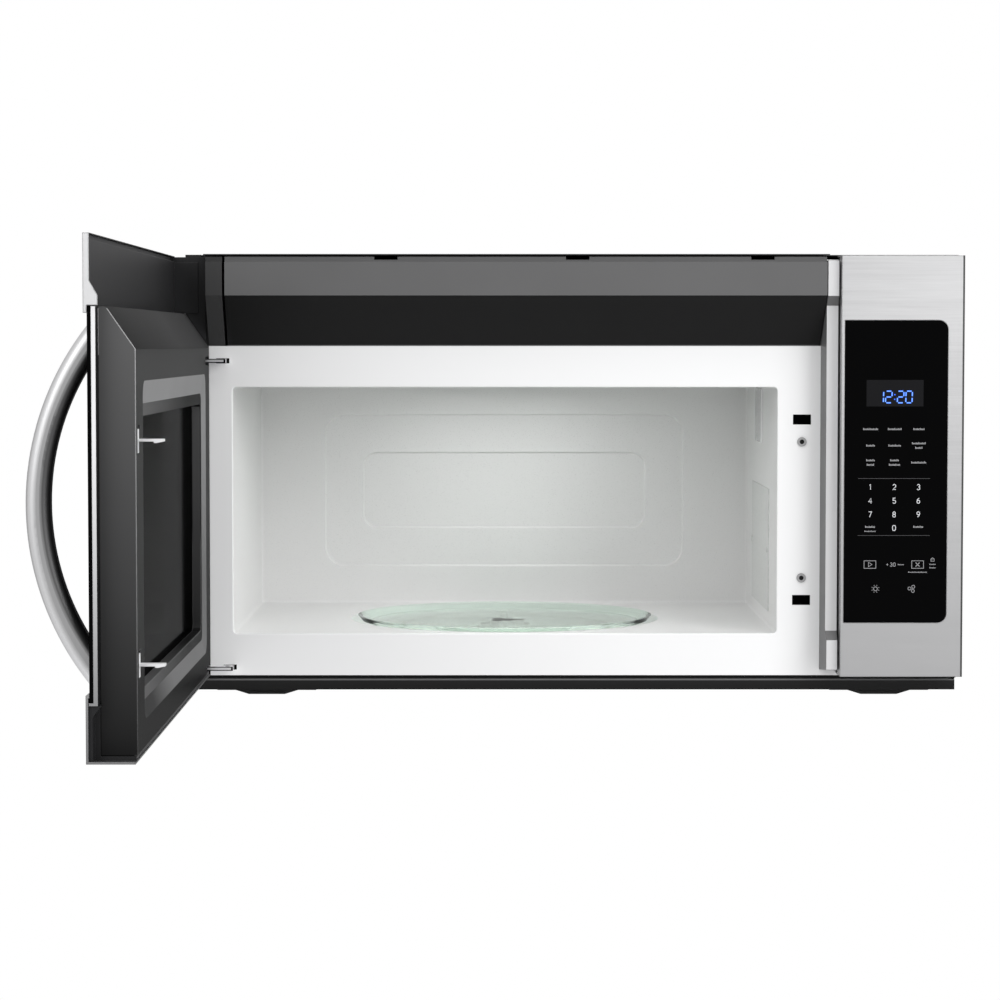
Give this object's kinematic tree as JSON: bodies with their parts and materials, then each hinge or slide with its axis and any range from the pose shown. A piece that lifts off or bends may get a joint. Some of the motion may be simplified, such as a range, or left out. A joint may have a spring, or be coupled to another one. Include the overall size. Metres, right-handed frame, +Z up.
{
  "type": "over-the-range microwave oven",
  "caption": "Wall-hung microwave oven with exhaust vent, side-hinged glass door with bowed handle standing open, white cavity with glass turntable, and a black touch panel with clock display.",
  "frame": {"origin": "centre of the rear face of the back plate, on the wall", "axes": "+X to the right seen from the front, +Y back into the wall, +Z up"},
  "size_m": [0.8336, 1.0021, 0.4449],
  "materials": {
    "case_paint": "satin",
    "base_paint": "satin",
    "white_paint": "gloss",
    "cavity_paint": "satin",
    "brushed_stainless": "brushed",
    "bare_steel": "satin",
    "screen_steel": "matt",
    "filter_mesh": "satin",
    "cast_aluminium": "satin",
    "vent_plastic": "gloss",
    "trim_plastic": "gloss",
    "frame_plastic": "gloss",
    "dark_plastic": "matt",
    "latch_plastic": "satin",
    "white_plastic": "satin",
    "charcoal": "matt",
    "display": "gloss",
    "circuit_board": "satin",
    "mica_sheet": "satin",
    "black_glass": "gloss",
    "window_glass": "gloss",
    "lamp_glass": "gloss",
    "smoked_lens": "gloss",
    "tray_glass": "gloss"
  },
  "bodies": {
    "case": {"case_wrap": "case_paint", "back_plate": "bare_steel", "base_pan": "base_paint", "front_plate": "white_paint", "cavity_liner": "cavity_paint", "vent_grille": "vent_plastic", "vent_end_post": "vent_plastic", "control_bezel": "brushed_stainless", "panel_side_trim": "trim_plastic", "panel_glass": "black_glass", "panel_carrier": "dark_plastic", "display_module": "display", "control_board": "circuit_board", "hinge_arm_upper": "bare_steel", "hinge_arm_lower": "bare_steel", "hinge_pins": "bare_steel", "latch_receiver": "white_plastic", "latch_screws": "bare_steel", "interlock_switches": "dark_plastic", "turntable_motor": "bare_steel", "magnetron": "bare_steel", "waveguide": "bare_steel", "waveguide_cover": "mica_sheet", "transformer": "bare_steel", "capacitor_and_diode": "cast_aluminium", "cooling_fan_frame": "dark_plastic", "noise_filter_board": "circuit_board", "wiring_loom": "dark_plastic", "cavity_lamp": "lamp_glass", "cooktop_lamps": "white_plastic", "cooktop_lenses": "smoked_lens", "blower_housing": "bare_steel", "blower_motor": "bare_steel", "charcoal_filter": "charcoal", "damper_frame": "bare_steel", "cord_gland": "dark_plastic", "case_screws": "bare_steel"},
    "door": {"door_top_band": "brushed_stainless", "door_backing": "dark_plastic", "door_bottom_wrap": "brushed_stainless", "door_glass": "black_glass", "door_panel": "white_paint", "door_screen": "screen_steel", "door_inner_frame": "frame_plastic", "door_window": "window_glass", "handle_bar": "brushed_stainless", "handle_screws": "bare_steel"},
    "latch": {"latch_bar": "latch_plastic", "latch_spring": "bare_steel"},
    "tray": {"turntable_coupler": "white_plastic", "glass_turntable": "tray_glass"},
    "ring": {"roller_ring": "white_plastic"},
    "roller_a": {"roller_1": "white_plastic"},
    "roller_b": {"roller_2": "white_plastic"},
    "roller_c": {"roller_3": "white_plastic"},
    "filter_left": {"grease_filter_left": "filter_mesh"},
    "filter_right": {"grease_filter_right": "filter_mesh"},
    "damper": {"damper_flap": "bare_steel"},
    "blower": {"blower_wheels": "dark_plastic"},
    "fan": {"cooling_fan_rotor": "dark_plastic"}
  },
  "joints": [
    {"name": "door_hinge", "type": "hinge", "parent": "case", "child": "door", "pos_m": [-0.37275, -0.37125, 0], "axis": [0, 0, 1], "range_deg": [-10.2, 89.8]},
    {"name": "latch_slide", "type": "slide", "parent": "door", "child": "latch", "axis": [0, 0, 1], "range_m": [0, 0.0025], "stiffness_N_per_m": 400, "deforming": ["latch_spring"]},
    {"name": "tray_spin", "type": "hinge", "parent": "case", "child": "tray", "pos_m": [-0.0714, -0.187, -0.166], "axis": [0, 0, 1], "continuous": true},
    {"name": "ring_spin", "type": "hinge", "parent": "case", "child": "ring", "pos_m": [-0.0714, -0.187, -0.1715], "axis": [0, 0, 1], "continuous": true},
    {"name": "roller_a_spin", "type": "hinge", "parent": "ring", "child": "roller_a", "pos_m": [-0.0714, -0.187, -0.1715], "axis": [0, 1, 0], "continuous": true},
    {"name": "roller_b_spin", "type": "hinge", "parent": "ring", "child": "roller_b", "pos_m": [-0.0714, -0.187, -0.1715], "axis": [-0.866, -0.5, 0], "continuous": true},
    {"name": "roller_c_spin", "type": "hinge", "parent": "ring", "child": "roller_c", "pos_m": [-0.0714, -0.187, -0.1715], "axis": [0.866, -0.5, 0], "continuous": true},
    {"name": "filter_left_slide", "type": "slide", "parent": "case", "child": "filter_left", "axis": [0, 1, 0], "range_m": [0, 0.012]},
    {"name": "filter_right_slide", "type": "slide", "parent": "case", "child": "filter_right", "axis": [0, 1, 0], "range_m": [0, 0.012]},
    {"name": "damper_hinge", "type": "hinge", "parent": "case", "child": "damper", "pos_m": [0, -0.14475, 0.2186], "axis": [1, 0, 0], "range_deg": [0, 80]},
    {"name": "blower_spin", "type": "hinge", "parent": "case", "child": "blower", "pos_m": [0, -0.11, 0.1346], "axis": [1, 0, 0], "continuous": true},
    {"name": "fan_spin", "type": "hinge", "parent": "case", "child": "fan", "pos_m": [0.3, -0.022, 0.018], "axis": [0, 1, 0], "continuous": true}
  ],
  "couplings": [
    {"joint": "ring_spin", "follows": "tray_spin", "ratio": 0.5},
    {"joint": "roller_a_spin", "follows": "tray_spin", "ratio": -10.8},
    {"joint": "roller_b_spin", "follows": "tray_spin", "ratio": -10.8},
    {"joint": "roller_c_spin", "follows": "tray_spin", "ratio": -10.8}
  ]
}
